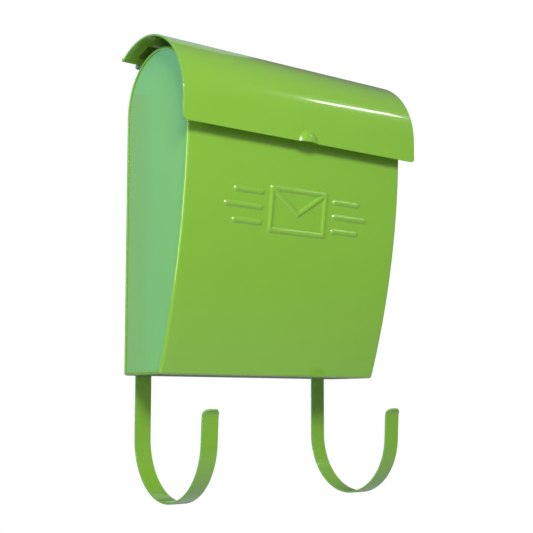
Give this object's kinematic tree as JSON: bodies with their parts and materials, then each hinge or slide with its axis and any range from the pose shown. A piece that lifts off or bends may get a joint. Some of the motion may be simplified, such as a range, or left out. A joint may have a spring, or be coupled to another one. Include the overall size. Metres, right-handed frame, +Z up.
{
  "type": "wall mounted mailbox",
  "caption": "Wall mailbox of curved sheet steel with a half-round hinged lid, an embossed envelope emblem and strip hooks below for newspapers.",
  "frame": {"origin": "centre of the rectangle of screw holes, on the wall plane", "axes": "+Z up, +Y into the wall, +X to the right as the front is faced from the room"},
  "size_m": [0.315, 0.1415, 0.487],
  "materials": {
    "green_enamel": "gloss",
    "enamelled_rivet": "gloss",
    "hinge_steel": "satin",
    "pin_steel": "satin"
  },
  "bodies": {
    "box": {"back_panel": "green_enamel", "front_panel": "green_enamel", "left_side_panel": "green_enamel", "right_side_panel": "green_enamel", "bottom_panel": "green_enamel", "left_hinge_body_leaf": "hinge_steel", "left_hinge_pin": "pin_steel", "left_hinge_body_rivets": "enamelled_rivet", "left_hook": "green_enamel", "left_hook_rivets": "enamelled_rivet", "right_hinge_body_leaf": "hinge_steel", "right_hinge_pin": "pin_steel", "right_hinge_body_rivets": "enamelled_rivet", "right_hook": "green_enamel", "right_hook_rivets": "enamelled_rivet"},
    "lid": {"lid": "green_enamel", "left_hinge_lid_leaf": "hinge_steel", "right_hinge_lid_leaf": "hinge_steel", "left_hinge_lid_rivets": "enamelled_rivet", "right_hinge_lid_rivets": "enamelled_rivet"}
  },
  "joints": [
    {"name": "lid_hinge", "type": "hinge", "parent": "box", "child": "lid", "pos_m": [0, -0.0176, 0.1551], "axis": [-1, 0, 0], "range_deg": [0, 85]}
  ]
}
